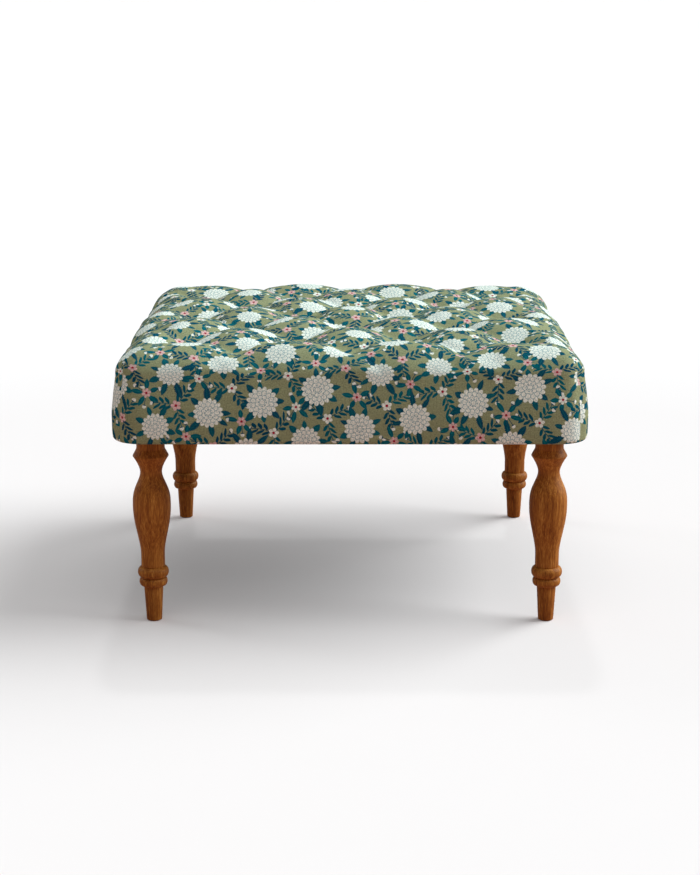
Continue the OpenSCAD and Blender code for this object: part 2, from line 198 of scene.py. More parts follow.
class Nodes:
    """A node tree in the making."""

    def __init__(self, tree):
        self.tree = tree
        self.tree.nodes.clear()

    def add(self, kind, settings=None, sockets=(), output=0):
        """Adds a node of a kind, sets it up, then gives its sockets their values or wires."""
        node = self.tree.nodes.new("ShaderNode" + kind)
        for name, value in (settings or {}).items():
            if name == "stops":
                ramp = node.color_ramp.elements
                while len(ramp) < len(value):
                    ramp.new(0.5)
                for stop, (at, shade) in zip(ramp, value):
                    stop.position = at
                    stop.color = (*shade, 1)
            else:
                setattr(node, name, value)
        for key, value in sockets.items() if isinstance(sockets, dict) else enumerate(sockets):
            if isinstance(value, Wire):
                self.tree.links.new(value.socket, node.inputs[key])
            elif value is not None:
                node.inputs[key].default_value = value
        return Wire(self, node.outputs[output] if node.outputs else None)

    def vector(self, operation, *vectors, scale=None):
        sockets = dict(enumerate(vectors))
        if scale is not None:
            sockets["Scale"] = scale
        output = 1 if operation in ("LENGTH", "DOT_PRODUCT") else 0
        return self.add("VectorMath", {"operation": operation}, sockets, output)


class Finish(Nodes):
    """A material in the making."""

    def __init__(self, name):
        self.material = bpy.data.materials.new(name)
        self.material.use_nodes = True
        super().__init__(self.material.node_tree)

    @staticmethod
    def full(colour):
        return (*colour, 1) if isinstance(colour, tuple) and len(colour) == 3 else colour

    def mix(self, share, under, over, blend="MIX"):
        """The colour under, with over laid on it by a share from 0 to 1."""
        sockets = {0: share, 6: self.full(under), 7: self.full(over)}
        return self.add("Mix", {"data_type": "RGBA", "blend_type": blend}, sockets, output=2)

    def on_piece(self):
        """A place on the piece, in metres."""
        return self.add("TexCoord", {}, (), "Object")

    def joined(self, x, y, z=0.0):
        return self.add("CombineXYZ", {}, (x, y, z))

    def noise(self, place, scale, detail=2.0, roughness=0.5, distortion=0.0):
        sockets = {
            "Vector": place,
            "Scale": scale,
            "Detail": detail,
            "Roughness": roughness,
            "Distortion": distortion,
        }
        return self.add("TexNoise", {"noise_dimensions": "3D"}, sockets)

    def ramp(self, amount, stops):
        return self.add("ValToRGB", {"stops": stops}, (amount,))

    def bump(self, height, distance, strength=1.0, normal=None):
        sockets = {"Strength": strength, "Distance": distance, "Height": height, "Normal": normal}
        return self.add("Bump", {}, sockets)

    def done(self, **sockets):
        """Ends the material with its shader."""
        named = {name.replace("_", " "): self.full(value) for name, value in sockets.items()}
        self.add("OutputMaterial", {}, (self.add("BsdfPrincipled", {}, named),))
        return self.material


def tint(red, green, blue):
    """A colour from its everyday 0 to 255 values."""
    return tuple(
        c / 12.92 if c <= 0.04045 else ((c + 0.055) / 1.055) ** 2.4
        for c in (red / 255, green / 255, blue / 255)
    )


# The printed cotton

GROUND = tint(150, 138, 103)
LEAF = tint(8, 88, 98)
LEAF_DEEP = tint(8, 62, 84)
LEAF_PALE = tint(66, 126, 120)
PETAL = tint(237, 217, 203)
PETAL_LINE = tint(88, 116, 128)
BLUSH = tint(228, 168, 162)
CRIMSON = tint(168, 30, 50)
BLOOM_GAP = 74.0
COLUMN_GAP = BLOOM_GAP * math.sqrt(3) / 2
EDGE_SOFT = 0.22
PRINT_TURN = math.radians(17)
THREAD_GAP = 0.55


def inside(distance):
    """1 where a distance in millimetres is below zero, 0 where it is above."""
    return distance.math("MULTIPLY_ADD", -1 / EDGE_SOFT, 0.5, clamp=True)


def drawn_numbers(cloth, first, second, third):
    """Three numbers from 0 to 1 that are drawn for three others."""
    place = cloth.joined(first, second, third)
    return cloth.add("TexWhiteNoise", {"noise_dimensions": "3D"}, {"Vector": place}, "Color").parts()


def spread(number, start, end):
    """A number drawn from 0 to 1, carried over to the range from start to end."""
    return number.math("MULTIPLY_ADD", end - start, start)


def lattice(cloth, u, v, shift, seed, stray):
    """The nearest point of a half-drop lattice: the place from it, and three numbers drawn for it."""
    column_at = u.math("MULTIPLY_ADD", 1 / COLUMN_GAP, -shift[0] / COLUMN_GAP)
    column = column_at.math("ROUND")
    drop = (column * 0.5).math("FRACT")
    row_at = v.math("MULTIPLY_ADD", 1 / BLOOM_GAP, -shift[1] / BLOOM_GAP) + drop
    row = row_at.math("ROUND")
    first, second, third = drawn_numbers(cloth, column, row, seed)
    x = (column_at - column).math("MULTIPLY_ADD", COLUMN_GAP, spread(first, stray, -stray))
    y = (row_at - row).math("MULTIPLY_ADD", BLOOM_GAP, spread(second, stray, -stray))
    return x, y, first, second, third


def polar(x, y):
    """Distance from the middle, and angle as a share of a full turn."""
    return (x * x + y * y).math("SQRT"), y.math("ARCTAN2", x) * (1 / TAU)


def fan(cloth, radius, angle, count, seed, lean):
    """Repeats a place round its middle, in a number of sectors.

    Returns the distance out, the distance aside, the sector, and three numbers drawn for it.
    """
    at = angle * count
    sector = at.math("FLOOR")
    drawn = drawn_numbers(cloth, sector.math("FLOORED_MODULO", float(count)), seed, 4.4)
    off = (at - sector - 0.5) * (TAU / count) + spread(drawn[2], -lean, lean)
    return radius * off.math("COSINE"), radius * off.math("SINE"), sector, drawn


def petal_ring(radius, turn, count, reach, notch):
    """Distances to the scalloped rim of a ring of petals, and to the line between two petals."""
    across = abs((turn * count).math("FRACT") - 0.5) * 2
    rim = radius - (across * across).math("MULTIPLY_ADD", -notch, reach)
    between = (1 - across) * radius * (math.pi / count)
    return rim, between


def sprig(s, t, start, end, pitch, leaf_length, leaf_width):
    """Distance to a stem along s, with pointed leaflets that lean forward on either side in turn."""
    middle = (start + end) / 2
    reach = (end - start) / 2
    out = abs(t)
    stem = (out - 0.5).math("MAXIMUM", abs(s - middle) - reach)
    lean = s - out * 0.8 + t.math("SIGN") * (pitch / 4)
    leaf_at = (lean * (1 / pitch)).math("ROUND") * pitch
    along = out * (1.3 / leaf_length)
    leaflet = (abs(lean - leaf_at) - along * (1 - along) * (2 * leaf_width)) * 0.8
    return stem.math("MINIMUM", leaflet.math("MAXIMUM", abs(leaf_at - middle) - reach))


def small_flower(cloth, colour, radius, angle, size, petals, shade):
    """Lays a small open flower with a crimson eye on the colour."""
    rim, between = petal_ring(radius, angle, petals, reach=size, notch=size * 0.42)
    colour = cloth.mix(inside(rim), colour, shade)
    crease = inside((between - 0.22).math("MAXIMUM", rim)) * 0.5
    colour = cloth.mix(crease, colour, CRIMSON)
    return cloth.mix(inside(radius - size * 0.26), colour, CRIMSON)


def berry(cloth, colour, x, y, size):
    """Lays a round bud on the colour, with a darker cap where its stalk comes in."""
    radius = (x * x + y * y).math("SQRT") - size
    colour = cloth.mix(inside(radius), colour, PETAL)
    return cloth.mix(inside(radius.math("MAXIMUM", x + size * 0.4)), colour, LEAF_DEEP)


def draw_sprays(cloth, colour, u, v):
    """A small flower with three long sprigs, in every other gap between the blooms."""
    stem_end = 28.5
    x, y, first, second, third = lattice(cloth, u, v, (COLUMN_GAP / 3, BLOOM_GAP / 2), seed=3.7, stray=3.5)
    radius, angle = polar(x, y)
    spun = angle + spread(third, -0.05, 0.05)
    s, t, _, (bend, kind, _) = fan(cloth, radius, spun, 3, seed=first * 31.0, lean=0.1)
    t = t - s * s * spread(bend, -0.011, 0.011)
    stem = sprig(s, t, 4.0, stem_end, pitch=7.2, leaf_length=11.0, leaf_width=5.4)
    colour = cloth.mix(inside(stem), colour, cloth.mix(kind, LEAF_DEEP, LEAF))
    colour = berry(cloth, colour, s - (stem_end + 2.0), t, size=2.8)
    shade = cloth.mix(second.math("GREATER_THAN", 0.5), BLUSH, PETAL)
    return small_flower(cloth, colour, radius, angle + first, 6.8, petals=5, shade=shade)


def draw_posies(cloth, colour, u, v):
    """A small flower with leaves and buds round it, in the other gaps."""
    foot, stalk_end = 4.0, 16.0
    x, y, first, second, third = lattice(cloth, u, v, (COLUMN_GAP * 2 / 3, 0), seed=9.1, stray=4.0)
    radius, angle = polar(x, y)
    turn = angle + third
    along, aside, _, (length, _, _) = fan(cloth, radius, turn, 5, seed=first * 17.0, lean=0.2)
    across = abs(aside)
    t = (along - foot) / spread(length, 11.0, 18.0)
    leaf = across - t * (1 - t) * 12.5
    colour = cloth.mix(inside(leaf), colour, LEAF)
    rib = inside((across - 0.2).math("MAXIMUM", leaf + 0.5)) * 0.6
    colour = cloth.mix(rib, colour, LEAF_PALE)
    turn = angle + third * 3.0
    along, aside, _, _ = fan(cloth, radius, turn, 3, seed=second * 23.0, lean=0.3)
    from_middle = abs(along - (foot + stalk_end) / 2)
    stalk = (abs(aside) - 0.4).math("MAXIMUM", from_middle - (stalk_end - foot) / 2)
    colour = cloth.mix(inside(stalk), colour, LEAF_DEEP)
    colour = berry(cloth, colour, along - (stalk_end + 1.5), aside, size=2.6)
    shade = cloth.mix(first.math("GREATER_THAN", 0.45), PETAL, BLUSH)
    return small_flower(cloth, colour, radius, angle + second, 6.2, petals=6, shade=shade)


def draw_bloom_leaves(cloth, colour, radius, angle, third):
    """Toothed leaves round a bloom, each only as long as the room between the blooms."""
    leaves = 8
    leaf_foot = 13.0
    tooth_gap = 2.3
    spot = fan(cloth, radius, angle, leaves, seed=third * 57.0, lean=0.14)
    along, aside, sector, (length, breadth, _) = spot
    points_at = ((sector + 0.5) / leaves - third) * TAU
    room_u = 27.5 / (abs(points_at.math("COSINE")) + 0.01)
    room_v = 33.0 / (abs(points_at.math("SINE")) + 0.01)
    tip = spread(length, 26.0, 38.0).math("MINIMUM", room_u).math("MINIMUM", room_v)
    across = abs(aside)
    t = (along - leaf_foot) / (tip - leaf_foot)
    half = (t * (1 - t)) * spread(breadth, 14.0, 22.0)
    tooth = ((along - across) * (1 / tooth_gap)).math("FRACT")
    leaf = across - half * tooth.math("MULTIPLY_ADD", -0.34, 1.0)
    colour = cloth.mix(inside(leaf), colour, cloth.mix(length, LEAF, LEAF_DEEP))
    veins = ((along - across) * (1 / tooth_gap)).math("PINGPONG", 0.5) * tooth_gap
    rib = (across - 0.22).math("MINIMUM", (veins - 0.13).math("MAXIMUM", across - half * 0.7))
    return cloth.mix(inside(rib.math("MAXIMUM", leaf + 0.4)) * 0.4, colour, LEAF_PALE)


def draw_blooms(cloth, colour, u, v):
    """Round blooms in three rings of petals, with leaves round them."""
    x, y, first, second, third = lattice(cloth, u, v, (0.0, 0.0), seed=1.3, stray=4.5)
    radius, angle = polar(x, y)
    angle = angle + third
    colour = draw_bloom_leaves(cloth, colour, radius, angle, third)
    radius = radius * spread(first, 0.93, 1.13)

    rim, between = petal_ring(radius, angle, 16, reach=19.6, notch=3.8)
    colour = cloth.mix(inside(rim), colour, PETAL)
    line = inside((between - 0.3).math("MAXIMUM", rim)) * 0.9

    def over_line(ring):
        """The line with the rim of a ring drawn over it."""
        return (line * (1 - inside(ring))).math("MAXIMUM", inside(abs(ring) - 0.32))

    ring, between = petal_ring(radius, angle + second, 12, reach=14.6, notch=2.8)
    line = over_line(ring).math("MAXIMUM", inside((between - 0.28).math("MAXIMUM", ring)))
    ring, between = petal_ring(radius, angle + first, 8, reach=9.2, notch=2.2)
    line = over_line(ring).math("MAXIMUM", inside(abs(radius - 3.2) - 0.3))
    dots = inside((between - 1.1).math("MAXIMUM", abs(radius - 4.9) - 0.5))
    return cloth.mix(line.math("MAXIMUM", dots) * 0.9, colour, PETAL_LINE)


def make_printed_cotton():
    """The cover's cloth: a floral print on an olive ground, uneven threads and a plain weave."""
    cloth = Finish("printed_cotton")
    place = cloth.add("UVMap", {"uv_map": "print"})
    drawn_at = cloth.vector("SCALE", place, scale=1 / MM)
    laid_at = {"Vector": drawn_at, "Angle": PRINT_TURN}
    u, v, _ = cloth.add("VectorRotate", {"rotation_type": "Z_AXIS"}, laid_at).parts()
    colour = GROUND
    for draw in (draw_sprays, draw_posies, draw_blooms):
        colour = draw(cloth, colour, u, v)
    warp, weft = (
        cloth.noise(cloth.vector("MULTIPLY", drawn_at, stretch), 1.0, 3.0, 0.7)
        for stretch in ((0.9, 0.05, 1.0), (0.05, 0.9, 1.0))
    )
    specks = cloth.noise(drawn_at, 0.55, 3.0, 0.75)
    slub = (warp + weft) * 0.45 + specks.math("MULTIPLY_ADD", 2.2, -0.55)
    colour = cloth.mix(1.0, colour, cloth.joined(slub, slub, slub), "MULTIPLY")
    u, v, _ = drawn_at.parts()
    threads = (u * (math.pi / THREAD_GAP)).math("SINE") * (v * (math.pi / THREAD_GAP)).math("SINE")
    lumps = cloth.noise(drawn_at, 0.16, 3.0, 0.55)
    normal = cloth.bump(threads, 0.05 * MM, 0.6)
    normal = cloth.bump(lumps, 1.2 * MM, 0.35, normal)
    return cloth.done(
        Base_Color=colour,
        Roughness=slub.math("MULTIPLY_ADD", -0.2, 1.1),
        Normal=normal,
        Specular_IOR_Level=0.0,
    )


# Other finishes


def make_turned_wood():
    """The legs' stained wood: fine streaks and broad bands along the grain, with open pores."""
    wood = Finish("stained_hardwood")
    x, y, z = wood.on_piece().parts()
    # Another number for each corner, so that each leg has its own grain
    side = x.math("SIGN").math("MULTIPLY_ADD", 3.7, y.math("SIGN") * 8.3)

    def drawn_out(share):
        """A place on a leg, drawn out along it by taking a share of its height."""
        return wood.joined(x, y, z * share + side)

    grain = drawn_out(0.05)
    sway = wood.noise(drawn_out(0.35), 14.0)
    streaks_at = wood.vector("ADD", grain, wood.joined(sway * 0.006, sway * 0.004))
    streaks = wood.noise(streaks_at, 420.0, 4.0, 0.66)
    rings = wood.noise(wood.vector("ADD", grain, wood.joined(sway * 0.02, 0.0)), 110.0)
    flecks = wood.noise(drawn_out(0.12), 900.0, roughness=0.6)
    pores = wood.noise(drawn_out(0.11), 1250.0)
    pore = pores.math("MULTIPLY_ADD", 7.0, -4.35, clamp=True)
    tone = streaks * 0.75 + flecks * 0.55 + rings.math("MULTIPLY_ADD", 0.35, -0.32)
    colour = wood.ramp(
        tone,
        [
            (0.24, tint(106, 47, 13)),
            (0.42, tint(151, 76, 26)),
            (0.56, tint(179, 99, 38)),
            (0.76, tint(213, 131, 61)),
        ],
    )
    colour = wood.mix(pore * 0.5, colour, tint(70, 32, 10))
    return wood.done(
        Base_Color=colour,
        Roughness=(streaks * 0.18 + pore * 0.2) + 0.38,
        Normal=wood.bump(streaks - pore * 0.8, 0.12 * MM, 0.5),
        Specular_IOR_Level=0.1,
    )


def make_plain_wood(name, dark, light, stretch, scale):
    """Bare wood. Its grain runs along the axis that has the least stretch."""
    wood = Finish(name)
    dark, light = tint(*dark), tint(*light)
    along = wood.vector("MULTIPLY", wood.on_piece(), stretch)
    sway = wood.noise(along, 6.0) * 0.05
    grain = wood.noise(wood.vector("ADD", along, wood.joined(sway, sway, sway)), scale, 4.0, 0.6)
    fibres = wood.noise(along, scale * 9)
    colour = wood.ramp(grain, [(0.32, dark), (0.5, light), (0.62, dark), (0.72, light)])
    return wood.done(
        Base_Color=wood.mix(fibres * 0.4, colour, dark),
        Roughness=grain * 0.15 + 0.6,
        Normal=wood.bump(fibres + grain, 0.15 * MM, 0.5),
        Specular_IOR_Level=0.3,
    )


def make_zinc_steel():
    steel = Finish("zinc_plated_steel")
    place = steel.on_piece()
    spangle = steel.noise(place, 160.0, 3.0)
    scratches = steel.noise(steel.vector("MULTIPLY", place, (1.0, 1.0, 0.05)), 900.0)
    return steel.done(
        Base_Color=steel.ramp(spangle, [(0.3, tint(150, 153, 156)), (0.7, tint(205, 207, 205))]),
        Metallic=1.0,
        Roughness=spangle * 0.2 + 0.25,
        Normal=steel.bump(scratches, 0.03 * MM, 0.4),
    )


def make_nylon():
    nylon = Finish("dark_nylon")
    place = nylon.on_piece()
    grain = nylon.noise(place, 1400.0)
    scuffs = nylon.noise(place, 220.0, 3.0)
    return nylon.done(
        Base_Color=nylon.ramp(scuffs, [(0.35, tint(38, 34, 32)), (0.7, tint(66, 62, 58))]),
        Roughness=scuffs * 0.3 + 0.4,
        Normal=nylon.bump(grain, 0.04 * MM, 0.5),
    )


def make_fibres(name, dark, light, scale, stretch, height):
    fibres = Finish(name)
    place = fibres.on_piece()
    tangle = fibres.noise(fibres.vector("MULTIPLY", place, stretch), scale, 4.0, 0.65, 0.8)
    clumps = fibres.noise(place, scale * 0.12)
    stops = [(0.35, tint(*dark)), (0.62, tint(*light))]
    return fibres.done(
        Base_Color=fibres.ramp(tangle * 0.6 + clumps * 0.4, stops),
        Roughness=tangle * 0.1 + 0.85,
        Normal=fibres.bump(tangle + clumps, height, 0.7),
        Specular_IOR_Level=0.2,
    )


def make_floor():
    """A pale floor that glows faintly, which is painted light that lightens the shadows on it. It looks
    lighter to the camera than to the ottoman that stands on it.
    """
    floor = Finish("pale_floor")
    place = floor.on_piece()
    away = floor.vector("LENGTH", place)
    seen = floor.mix(floor.noise(place, 1.3, 3.0), (0.832, 0.587, 0.556), (0.852, 0.605, 0.575))
    far_off = away.math("MULTIPLY_ADD", 1.1, -1.3, clamp=True)
    seen = floor.mix(far_off, seen, (0.90, 0.65, 0.617))
    # Painted shade: close to the ottoman the floor's colour for all rays but the camera's is darker, so the
    # light that it throws back on the ottoman's lower faces is weaker there
    beyond = away.math("MULTIPLY_ADD", 1.1, -0.6, clamp=True)
    bounce = floor.mix(beyond, (0.35, 0.19, 0.16), (0.60, 0.40, 0.355))
    return floor.done(
        Base_Color=floor.mix(floor.add("LightPath"), bounce, seen),
        Roughness=0.9,
        Specular_IOR_Level=0.1,
        # The floor's glow is painted light, which lightens the shadows on it.
        Emission_Color=(1, 1, 1),
        Emission_Strength=0.10,
    )


# Meshes


def new_piece(name, points, faces, material, sharp=None):
    """A smooth piece. Edges that turn by more than sharp, in degrees, stay sharp where it is given."""
    mesh = bpy.data.meshes.new(name)
    mesh.from_pydata([tuple(map(float, p)) for p in points], [], faces)
    mesh.update()
    mesh.shade_smooth()
    if sharp is not None:
        mesh.set_sharp_from_angle(angle=math.radians(sharp))
    mesh.materials.append(material)
    piece = bpy.data.objects.new(name, mesh)
    bpy.context.scene.collection.objects.link(piece)
    return piece


def thicken(piece, thickness, side):
    """Gives a sheet the thickness of cloth, on the side that its faces look to (1) or on the other (-1)."""
    cloth = piece.modifiers.new("cloth", "SOLIDIFY")
    cloth.thickness = thickness
    cloth.offset = side


def apply_modifiers(piece):
    """Makes what the piece's modifiers do part of its mesh."""
    bpy.context.view_layer.update()
    graph = bpy.context.evaluated_depsgraph_get()
    mesh = bpy.data.meshes.new_from_object(
        piece.evaluated_get(graph), preserve_all_data_layers=True, depsgraph=graph
    )
    piece.modifiers.clear()
    piece.data = mesh


def net_faces(cells):
    """The squares of a net of points, which look up."""
    width = cells + 1
    corners = (0, 1, width + 1, width)
    return [tuple(j * width + i + p for p in corners) for j in range(cells) for i in range(cells)]


def renumbered(faces):
    """The points that faces use, and the faces with these points numbered in a row."""
    used = sorted({p for face in faces for p in face})
    numbers = {p: k for k, p in enumerate(used)}
    return used, [tuple(numbers[p] for p in face) for face in faces]


def quarter_turned(x, y, quarter):
    """A place turned round the middle by a number of quarter turns."""
    c, s = QUARTERS[quarter]
    return c * x - s * y, s * x + c * y


def smooth_step(t):
    """An eased rise from 0 to 1."""
    t = np.clip(t, 0, 1)
    return t * t * (3 - 2 * t)


def pillow(x, y):
    """0 at a tuft, about 1/2 in the middle of a crease, 1 on a crest. The creases are rounded."""
    across = np.pi * (x / TUFT_PITCH_X - 0.5)
    along = np.pi * y / TUFT_PITCH_Y
    folds = [np.sqrt(np.sin(across + side * along) ** 2 + CREASE_SOFT**2) for side in (1, -1)]
    return (sum(folds) / 2 - CREASE_SOFT) / (np.sqrt(1 + CREASE_SOFT**2) - CREASE_SOFT)


def dip(x, y):
    """How far the tufting lowers the top. It fades out towards the sides and leaves the corners firm."""
    fade = smooth_step(np.minimum((SEAT_HALF - abs(x)) / FADE_SIDE, (SEAT_HALF - abs(y)) / FADE_FRONT))
    in_corner = np.clip((abs(x) - FIRM_X) / FIRM_W, 0, 1) * np.clip((abs(y) - FIRM_Y) / FIRM_W, 0, 1)
    return TUFT_DEPTH * fade * (1 - pillow(x, y)) * (1 - smooth_step(in_corner))


def crown(x, y):
    """How far the crowned top has come down at a place."""
    return CROWN * (x * x + y * y) / (2 * SEAT_HALF**2)


def side_rows(shoulder_steps, side_steps, edge_steps, hem_steps):
    """Rows down the seat's side, from its rounded top edge to its hem.

    Each has its half width, its height, and its share of the top's form.
    """
    rows = []
    for k in range(1, shoulder_steps + 1):
        turn = math.pi / 2 * (1 - k / shoulder_steps)
        rows.append((SIDE_HALF - SHOULDER_W * (1 - math.cos(turn)), SIDE_TOP, math.sin(turn)))
    edge_top = HEM_Z + EDGE_R
    for k in range(1, side_steps + 1):
        t = k / side_steps
        belly = BELLY * math.sin(math.pi / 2 * min(1, t / BELLY_AT))
        tuck = EDGE_DRAW * max(0, (t - EDGE_DRAW_FROM) / (1 - EDGE_DRAW_FROM)) ** 2
        rows.append((SIDE_HALF + belly - tuck, SIDE_TOP + (edge_top - SIDE_TOP) * t, 0))
    inner = SIDE_HALF + BELLY - EDGE_DRAW - EDGE_R
    for k in range(1, edge_steps + 1):
        turn = math.pi / 2 * k / edge_steps
        rows.append((inner + EDGE_R * math.cos(turn), edge_top - EDGE_R * math.sin(turn), 0))
    for k in range(1, hem_steps + 1):
        rows.append((inner + (HEM_HALF - inner) * k / hem_steps, HEM_Z, 0))
    return rows


def side_spots(cells, half, radius, blend, run):
    """Places on the front side of a rounded square, from corner to corner.

    Each comes with its place in the flat cloth, where run is how far the cloth has come from the seat's
    middle, and blend is the share by which a corner's cloth is laid out along its arc.
    """
    straight = half - radius
    spots = []
    for k in range(cells + 1):
        share = 2 * k / cells - 1
        along = abs(share) * (straight + radius * math.pi / 4)
        turn = max(0.0, (along - straight) / radius)
        sign = math.copysign(1, share)
        x = min(along, straight) + radius * math.sin(turn)
        y = -straight - radius * math.cos(turn)
        flat_x = min(along, straight) + radius * (blend * turn + (1 - blend) * math.sin(turn))
        flat_y = -run + (1 - blend) * radius * (1 - math.cos(turn))
        spots.append((sign * x, y, sign * flat_x, flat_y))
    return spots


def seat_surface(cells, rows):
    """A net over the seat's top, with rings down its sides.

    Returns its points, its faces, and the place of each face's corners in the flat cloth.
    """
    line = np.linspace(-NET_HALF, NET_HALF, cells + 1)
    across, along = np.meshgrid(line, line)
    heights = SEAT_TOP - crown(across, along) - dip(across, along)
    points = list(zip(across.ravel(), along.ravel(), heights.ravel()))
    faces = net_faces(cells)
    flat = [[points[p][:2] for p in face] for face in faces]
    width = cells + 1
    border = [
        list(range(width)),
        [j * width + cells for j in range(width)],
        [cells * width + cells - i for i in range(width)],
        [(cells - j) * width for j in range(width)],
    ]
    flat_border = [[points[p][:2] for p in side] for side in border]
    run = NET_HALF
    last = (NET_HALF, SEAT_TOP)
    rounding = math.pi / 4 * (SHOULDER_W + SHOULDER_H)
    for half, base, share in rows:
        height = base + SHOULDER_H * share
        run += math.dist(last, (half, height))
        last = (half, height)
        radius = max(LEAST_CORNER_R, CORNER_R - (SEAT_HALF - half))
        spots = side_spots(cells, half, radius, smooth_step((run - NET_HALF) / rounding), run)
        ring, flat_ring = [], []
        for quarter in range(4):
            ring.append(list(range(len(points), len(points) + cells)))
            for x0, y0, _, _ in spots[:-1]:
                x, y = quarter_turned(x0, y0, quarter)
                points.append((x, y, height - (float(dip(x, y)) + crown(x, y) * share if share else 0)))
            flat_ring.append([quarter_turned(flat_x, flat_y, quarter) for _, _, flat_x, flat_y in spots])
        for quarter in range(4):
            ring[quarter].append(ring[(quarter + 1) % 4][0])
        for upper, lower, flat_upper, flat_lower in zip(border, ring, flat_border, flat_ring):
            for k in range(cells):
                faces.append((lower[k], lower[k + 1], upper[k + 1], upper[k]))
                flat.append([flat_lower[k], flat_lower[k + 1], flat_upper[k + 1], flat_upper[k]])
        border, flat_border = ring, flat_ring
    return points, faces, flat


def settle_cloth(cover):
    """Lets the cover swell between its tufts as cloth.

    Returns where each point starts and how far it moves.
    """
    start = np.array([point.co for point in cover.data.vertices])
    to_tuft = np.min([np.hypot(start[:, 0] - x, start[:, 1] - y) for x, y in TUFTS], axis=0)
    hold = np.where(start[:, 2] > SIDE_TOP, np.clip(1.6 - to_tuft / TUFT_HOLD_R, 0, 1), 0)
    hold = np.where(start[:, 2] < HEM_Z + 1.2 * EDGE_R, 1.0, hold)
    held = cover.vertex_groups.new(name="held")
    for point in np.nonzero(hold)[0]:
        held.add([int(point)], float(hold[point]), "REPLACE")
    modifier = cover.modifiers.new("settling", "CLOTH")
    cloth = modifier.settings
    cloth.quality = 6
    cloth.mass = 0.3
    cloth.tension_stiffness = cloth.compression_stiffness = 20
    cloth.shear_stiffness = 8
    cloth.bending_stiffness = 0.5
    cloth.tension_damping = cloth.compression_damping = 8
    cloth.bending_damping = 0.8
    cloth.vertex_group_mass = "held"
    cloth.use_pressure = True
    cloth.uniform_pressure_force = 3
    cloth.shrink_min = -0.02
    cloth.effector_weights.gravity = 0
    modifier.collision_settings.use_collision = False
    modifier.point_cache.frame_end = SETTLING_FRAMES
    for step in range(1, SETTLING_FRAMES + 1):
        bpy.context.scene.frame_set(step)
    settled = cover.evaluated_get(bpy.context.evaluated_depsgraph_get())
    moved = np.array([point.co for point in settled.data.vertices]) - start
    bpy.context.scene.frame_set(1)
    cover.modifiers.clear()
    cover.vertex_groups.clear()
    return start, moved


def fit_cloth(start, moved):
    """The settled points, with little swelling on the sides and the crests kept at the seat's height."""
    top_share = smooth_step((start[:, 2] - SWELL_FOOT) / SWELL_EASE)
    moved = moved * (SIDE_SWELL + (1 - SIDE_SWELL) * top_share)[:, None]
    crests = start[:, 2] > SEAT_TOP - CROWN
    moved[:, 2] -= top_share * np.median(moved[crests, 2])
    length = np.linalg.norm(moved, axis=1)
    return start + moved * (np.minimum(length, MOST_MOVED) / np.maximum(length, 1e-9))[:, None]


def fold_corners(places):
    """Draws the cloth in along each corner of the sides, where it is folded under itself."""
    out = abs(places[:, :2])
    on_corner = (abs(out[:, 0] - out[:, 1]) < FOLD_HALF_W) & (out[:, 0] > NET_HALF)
    on_side = np.clip((FOLD_TOP - places[:, 2]) / FOLD_TOP_EASE, 0, 1)
    off_hem = np.clip((places[:, 2] - FOLD_FOOT) / FOLD_FOOT_EASE, 0, 1)
    depth = CORNER_FOLD * on_corner * on_side * off_hem
    folded = places.copy()
    folded[:, :2] -= np.sign(places[:, :2]) * (depth * math.sqrt(0.5))[:, None]
    return folded


def make_cover(material):
    """The cover, as a surface without thickness that the padding is then laid under."""
    rows = side_rows(shoulder_steps=10, side_steps=12, edge_steps=4, hem_steps=2)
    points, faces, flat = seat_surface(NET_CELLS, rows)
    cover = new_piece("cover", points, faces, material)
    layer = cover.data.uv_layers.new(name="print")
    layer.data.foreach_set("uv", np.array(flat, np.float32).ravel())
    settled = fold_corners(fit_cloth(*settle_cloth(cover)))
    cover.data.vertices.foreach_set("co", settled.astype(np.float32).ravel())
    cover.data.update()
    return cover


def make_layer(name, cover, material, outer, inner, lowest):
    """A layer of padding between two depths under the cover.

    With no inner depth it is solid down to its foot.
    """
    mesh = cover.data
    places = np.array([point.co for point in mesh.vertices])
    facing = np.array([point.normal for point in mesh.vertices])
    kept = places[:, 2] > lowest + 2 * outer
    used, faces = renumbered(
        [tuple(face.vertices) for face in mesh.polygons if all(kept[p] for p in face.vertices)]
    )
    outside = (places - facing * outer)[used]
    edges = dict.fromkeys((p, face[(k + 1) % len(face)]) for face in faces for k, p in enumerate(face))
    rim = [edge for edge in edges if edge[::-1] not in edges]
    total = len(used)
    if inner is None:
        after = dict(rim)
        loop = [rim[0][0]]
        while after[loop[-1]] != loop[0]:
            loop.append(after[loop[-1]])
        below = [(*outside[p][:2], lowest) for p in loop]
        at = {p: total + k for k, p in enumerate(loop)}
        faces += [(b, a, at[a], at[b]) for a, b in rim]
        faces.append(tuple(at[p] for p in reversed(loop)))
    else:
        below = list((places - facing * inner)[used])
        faces += [tuple(p + total for p in reversed(face)) for face in faces]
        faces += [(b, a, a + total, b + total) for a, b in rim]
    return new_piece(name, list(outside) + below, faces, material)


def finish_cover(cover):
    """Makes the cover finer and gives it the thickness of cloth."""
    finer = cover.modifiers.new("finer", "SUBSURF")
    finer.levels = finer.render_levels = 1
    finer.uv_smooth = "PRESERVE_BOUNDARIES"
    thicken(cover, COVER_T, -1)
    apply_modifiers(cover)


